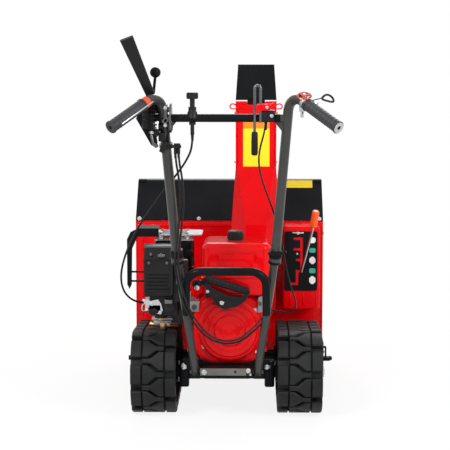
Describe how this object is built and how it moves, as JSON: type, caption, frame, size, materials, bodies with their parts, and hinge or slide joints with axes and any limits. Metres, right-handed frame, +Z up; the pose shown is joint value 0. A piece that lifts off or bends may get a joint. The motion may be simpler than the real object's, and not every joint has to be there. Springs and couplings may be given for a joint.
{
  "type": "tracked snow blower",
  "caption": "Walk-behind snow blower on rubber tracks, red with black drift cover, turning chute, single-cylinder engine and grey handlebars.",
  "frame": {"origin": "on the ground under the middle of the bounding box", "axes": "+X to the operator's right, +Y forward towards the snow housing, +Z up"},
  "size_m": [0.686, 1.33, 1.135],
  "materials": {
    "track_rubber": "matte",
    "black_paint": "satin",
    "bare_steel": "satin",
    "alloy": "satin",
    "red_paint": "gloss",
    "handle_paint": "satin",
    "grip_rubber": "matte",
    "orange_plastic": "satin",
    "black_plastic": "satin"
  },
  "bodies": {
    "machine": {"track_left": "track_rubber", "track_right": "track_rubber", "drive_wheels": "black_paint", "idler_wheels": "black_paint", "drive_axles": "bare_steel", "idler_axle": "bare_steel", "road_rollers": "black_paint", "track_frame_left": "black_paint", "track_frame_right": "black_paint", "chassis_frame": "black_paint", "rear_strip": "bare_steel", "transmission_case": "alloy", "axle_flanges": "black_paint", "auger_housing": "red_paint", "scraper_bar": "black_paint", "skid_shoe_left": "black_paint", "skid_shoe_right": "black_paint", "drift_cover": "black_paint", "impeller_housing": "red_paint", "auger_gearbox": "black_paint", "belt_cover": "black_paint", "chute_ring": "black_paint", "shift_console": "red_paint", "gate_plate": "black_paint", "shift_lever": "bare_steel", "shift_grip": "orange_plastic", "crankcase": "black_paint", "cylinder": "alloy", "valve_cover": "alloy", "fan_housing": "red_paint", "recoil_cover": "red_paint", "starter_grip": "black_plastic", "fuel_tank": "red_paint", "fuel_cap": "black_plastic", "intake_shroud": "black_plastic", "carburetor": "black_plastic", "muffler": "black_paint", "muffler_shield": "bare_steel", "muffler_guard": "black_paint", "control_bracket": "bare_steel", "lower_handle_left": "handle_paint", "lower_handle_right": "handle_paint", "upper_handle": "handle_paint", "brace_arch": "black_paint", "grip_left": "grip_rubber", "grip_right": "grip_rubber", "clutch_lever": "black_plastic", "height_lever": "black_paint", "height_quadrant": "bare_steel", "throttle_knob": "black_plastic", "chute_crank": "bare_steel", "speed_lever": "bare_steel", "cable_clamp": "black_plastic", "control_cables": "black_plastic"},
    "auger_rotor": {"auger": "red_paint"},
    "impeller_rotor": {"impeller": "red_paint"},
    "chute_body": {"chute": "red_paint"},
    "deflector_hood": {"deflector": "black_paint"}
  },
  "joints": [
    {"name": "auger_spin", "type": "hinge", "parent": "machine", "child": "auger_rotor", "pos_m": [0, 0.482, 0.193], "axis": [1, 0, 0], "continuous": true},
    {"name": "impeller_spin", "type": "hinge", "parent": "machine", "child": "impeller_rotor", "pos_m": [0, 0.22, 0.213], "axis": [0, 1, 0], "continuous": true},
    {"name": "chute_turn", "type": "hinge", "parent": "machine", "child": "chute_body", "pos_m": [0.087, 0.206, 0.427], "axis": [0, 0, 1], "range_deg": [-100, 100]},
    {"name": "deflector_tilt", "type": "hinge", "parent": "chute_body", "child": "deflector_hood", "pos_m": [0.087, 0.14225, 0.921], "axis": [-1, 0, 0], "range_deg": [0, 65]}
  ],
  "couplings": [
    {"joint": "impeller_spin", "follows": "auger_spin", "ratio": 10}
  ]
}
